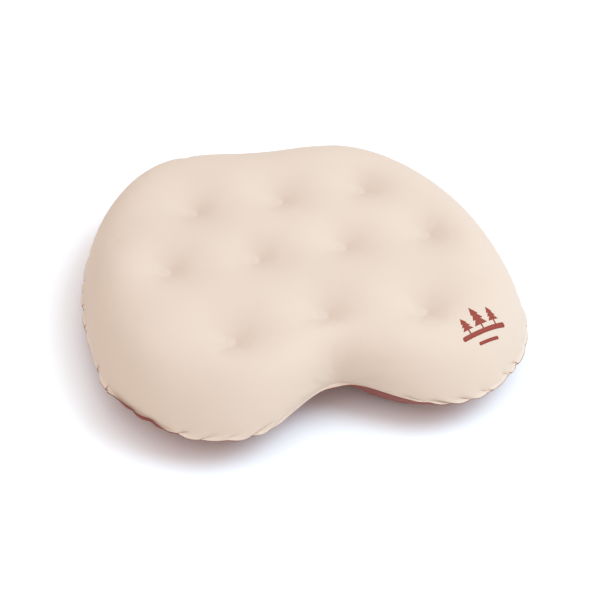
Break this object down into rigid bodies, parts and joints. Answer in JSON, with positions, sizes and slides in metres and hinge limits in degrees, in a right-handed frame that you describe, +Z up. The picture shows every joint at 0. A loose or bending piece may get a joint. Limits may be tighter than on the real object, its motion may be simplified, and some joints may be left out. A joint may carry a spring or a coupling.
{
  "type": "camp pillow",
  "caption": "Kidney-shaped inflatable camp pillow: two welded fabric panels held by inner ties that pull in dimples, with a neck recess and a flat two-stage air valve.",
  "frame": {"origin": "on the floor under the middle of the pillow's outline", "axes": "+X along the pillow's length, -Y towards the neck recess, +Z up"},
  "size_m": [0.48, 0.4142, 0.104],
  "materials": {
    "beige_fabric": "matt brushed woven fabric with a fine peach-skin surface",
    "terracotta_fabric": "matt woven fabric, coated inside",
    "print_ink": "thin matt transfer print",
    "weld_film": "milky thermoplastic film",
    "tie_webbing": "flat woven tape",
    "valve_soft_plastic": "soft satin thermoplastic",
    "valve_plug_plastic": "satin moulded plastic",
    "valve_rubber": "soft silicone rubber"
  },
  "bodies": {
    "air_cell": {"top_panel": "beige_fabric", "bottom_panel": "terracotta_fabric", "upper_patch_01": "weld_film", "upper_patch_02": "weld_film", "upper_patch_03": "weld_film", "upper_patch_04": "weld_film", "upper_patch_05": "weld_film", "upper_patch_06": "weld_film", "upper_patch_07": "weld_film", "upper_patch_08": "weld_film", "upper_patch_09": "weld_film", "upper_patch_10": "weld_film", "tether_01": "tie_webbing", "tether_02": "tie_webbing", "tether_03": "tie_webbing", "tether_04": "tie_webbing", "tether_05": "tie_webbing", "tether_06": "tie_webbing", "tether_07": "tie_webbing", "tether_08": "tie_webbing", "tether_09": "tie_webbing", "tether_10": "tie_webbing", "lower_patch_01": "weld_film", "lower_patch_02": "weld_film", "lower_patch_03": "weld_film", "lower_patch_04": "weld_film", "lower_patch_05": "weld_film", "lower_patch_06": "weld_film", "lower_patch_07": "weld_film", "lower_patch_08": "weld_film", "lower_patch_09": "weld_film", "lower_patch_10": "weld_film", "valve_base": "valve_soft_plastic"},
    "plug": {"deflate_plug": "valve_plug_plastic", "plug_seal": "valve_rubber", "plug_strap": "valve_soft_plastic"},
    "cap": {"inflation_cap": "valve_plug_plastic", "cap_strap": "valve_soft_plastic"},
    "flap": {"check_flap": "valve_rubber"}
  },
  "joints": [
    {"name": "plug_swing", "type": "hinge", "parent": "air_cell", "child": "plug", "pos_m": [0, 0.20149, 0.03494], "axis": [1, 0, 0], "range_deg": [0, 110]},
    {"name": "cap_swing", "type": "hinge", "parent": "plug", "child": "cap", "pos_m": [-0.0092, 0.19545, 0.02027], "axis": [0, 0.5437, 0.8393], "range_deg": [0, 150]},
    {"name": "flap_lift", "type": "slide", "parent": "plug", "child": "flap", "axis": [0, -0.8393, 0.5437], "range_m": [0, 0.0012], "stiffness_N_per_m": 20}
  ]
}
